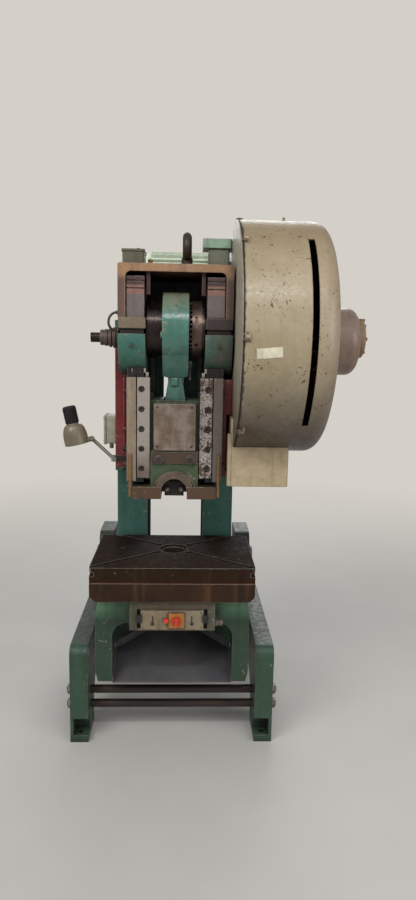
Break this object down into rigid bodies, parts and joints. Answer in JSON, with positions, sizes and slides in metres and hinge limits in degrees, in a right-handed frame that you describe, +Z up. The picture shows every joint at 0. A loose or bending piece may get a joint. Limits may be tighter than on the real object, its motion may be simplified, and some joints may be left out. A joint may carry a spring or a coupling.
{
  "type": "mechanical stamping press",
  "caption": "Open-back inclinable eccentric press: C frame on tilting legs, guided ram, T-slot table and a guarded side flywheel",
  "frame": {"origin": "on the floor, in the middle of the rectangle of the four anchor holes in the feet", "axes": "+X along the crankshaft to the flywheel side, +Y to the back of the press, +Z up"},
  "size_m": [1.185, 1.222, 2.114],
  "materials": {
    "green_casting": "worn dark green machine paint on cast iron",
    "rusty_iron": "brown rusted iron with bright worn edges",
    "ochre_casting": "ochre primer and rust on cast iron",
    "steel": "oiled machined steel",
    "dark_steel": "blackened steel",
    "bronze": "oiled bearing bronze",
    "beige_paint": "scuffed beige paint on sheet steel",
    "grey_green_paint": "pale grey-green paint",
    "black_rubber": "matte black belt rubber",
    "black_plastic": "matte black plastic",
    "yellow_plastic": "yellow plastic plate",
    "red_plastic": "red plastic"
  },
  "bodies": {
    "base": {"base_leg_left": "green_casting", "base_leg_right": "green_casting", "tie_bars": "dark_steel", "tie_bar_nuts": "steel", "trunnion_pins": "steel"},
    "frame": {"main_frame": "green_casting", "clamp_bolts": "steel", "table_block": "rusty_iron", "bolster_plate": "rusty_iron", "scrap_chute": "dark_steel", "bearing_bushes": "bronze", "bearing_cap_left": "ochre_casting", "bearing_cap_right": "ochre_casting", "cap_shims": "dark_steel", "cap_nuts": "steel", "guide_liners": "bronze", "gib_plate_left": "steel", "gib_plate_right": "steel", "gib_screw_set": "dark_steel", "guide_side_bars": "beige_paint", "wear_strips": "bronze", "gib_adjusters": "dark_steel", "crown_hood": "ochre_casting", "lubricator": "grey_green_paint", "lifting_eye": "dark_steel", "oil_pipe": "steel", "motor_bracket": "green_casting", "motor_body": "grey_green_paint", "motor_end_bell": "grey_green_paint", "terminal_box": "grey_green_paint", "drive_belts": "black_rubber", "guard_drum": "beige_paint", "guard_back_plate": "grey_green_paint", "guard_lower_box": "beige_paint", "hub_cover": "beige_paint", "hub_end_cap": "ochre_casting", "control_box": "beige_paint", "control_panel": "beige_paint", "panel_fittings": "black_plastic", "selector_plate": "yellow_plastic", "switch_box": "grey_green_paint", "lamp_bracket": "dark_steel"},
    "crank": {"crankshaft": "steel", "stroke_coupling": "steel", "shaft_collars": "ochre_casting"},
    "pitman": {"strap": "green_casting", "strap_liner": "bronze", "lock_nut": "dark_steel"},
    "ram": {"ram": "green_casting", "ram_front_plate": "steel", "ram_bolts": "steel", "shank_clamp": "dark_steel", "shank_clamp_nuts": "steel"},
    "adjusting_screw": {"ball_screw": "steel"},
    "flywheel": {"flywheel": "rusty_iron"},
    "motor_rotor": {"motor_pulley": "steel"},
    "selector": {"selector_knob": "red_plastic"},
    "stop_key": {"stop_button": "red_plastic"},
    "lamp_arm": {"lamp_arm": "steel"},
    "lamp_head": {"lamp_head": "dark_steel"}
  },
  "joints": [
    {"name": "frame_tilt", "type": "hinge", "parent": "base", "child": "frame", "pos_m": [0, 0.1, 0.64], "axis": [-1, 0, 0], "range_deg": [0, 25]},
    {"name": "crank_turn", "type": "hinge", "parent": "frame", "child": "crank", "pos_m": [0, -0.33, 1.656], "axis": [1, 0, 0], "continuous": true},
    {"name": "pitman_turn", "type": "hinge", "parent": "crank", "child": "pitman", "pos_m": [0, -0.33, 1.691], "axis": [1, 0, 0], "continuous": true},
    {"name": "shut_height", "type": "slide", "parent": "pitman", "child": "adjusting_screw", "axis": [0, 0, 1], "range_m": [-0.015, 0.015]},
    {"name": "ram_stroke", "type": "slide", "parent": "frame", "child": "ram", "axis": [0, 0, -1], "range_m": [0, 0.07]},
    {"name": "flywheel_turn", "type": "hinge", "parent": "frame", "child": "flywheel", "pos_m": [0, -0.33, 1.656], "axis": [1, 0, 0], "continuous": true},
    {"name": "motor_turn", "type": "hinge", "parent": "frame", "child": "motor_rotor", "pos_m": [0, 0.15, 1.945], "axis": [1, 0, 0], "continuous": true},
    {"name": "selector_turn", "type": "hinge", "parent": "frame", "child": "selector", "pos_m": [0.016, -0.574, 0.5905], "axis": [0, 1, 0], "range_deg": [0, 90]},
    {"name": "stop_press", "type": "slide", "parent": "frame", "child": "stop_key", "axis": [0, 1, 0], "range_m": [0, 0.003], "stiffness_N_per_m": 400},
    {"name": "lamp_arm_turn", "type": "hinge", "parent": "frame", "child": "lamp_arm", "pos_m": [-0.24, -0.37, 1.18], "axis": [0, 1, 0], "range_deg": [-35, 15]},
    {"name": "lamp_head_turn", "type": "hinge", "parent": "lamp_arm", "child": "lamp_head", "pos_m": [-0.32776, -0.37, 1.26184], "axis": [0, 1, 0], "range_deg": [-40, 25]}
  ],
  "couplings": [
    {"joint": "pitman_turn", "follows": "crank_turn", "ratio": -1},
    {"joint": "motor_turn", "follows": "flywheel_turn", "ratio": 5.61}
  ]
}
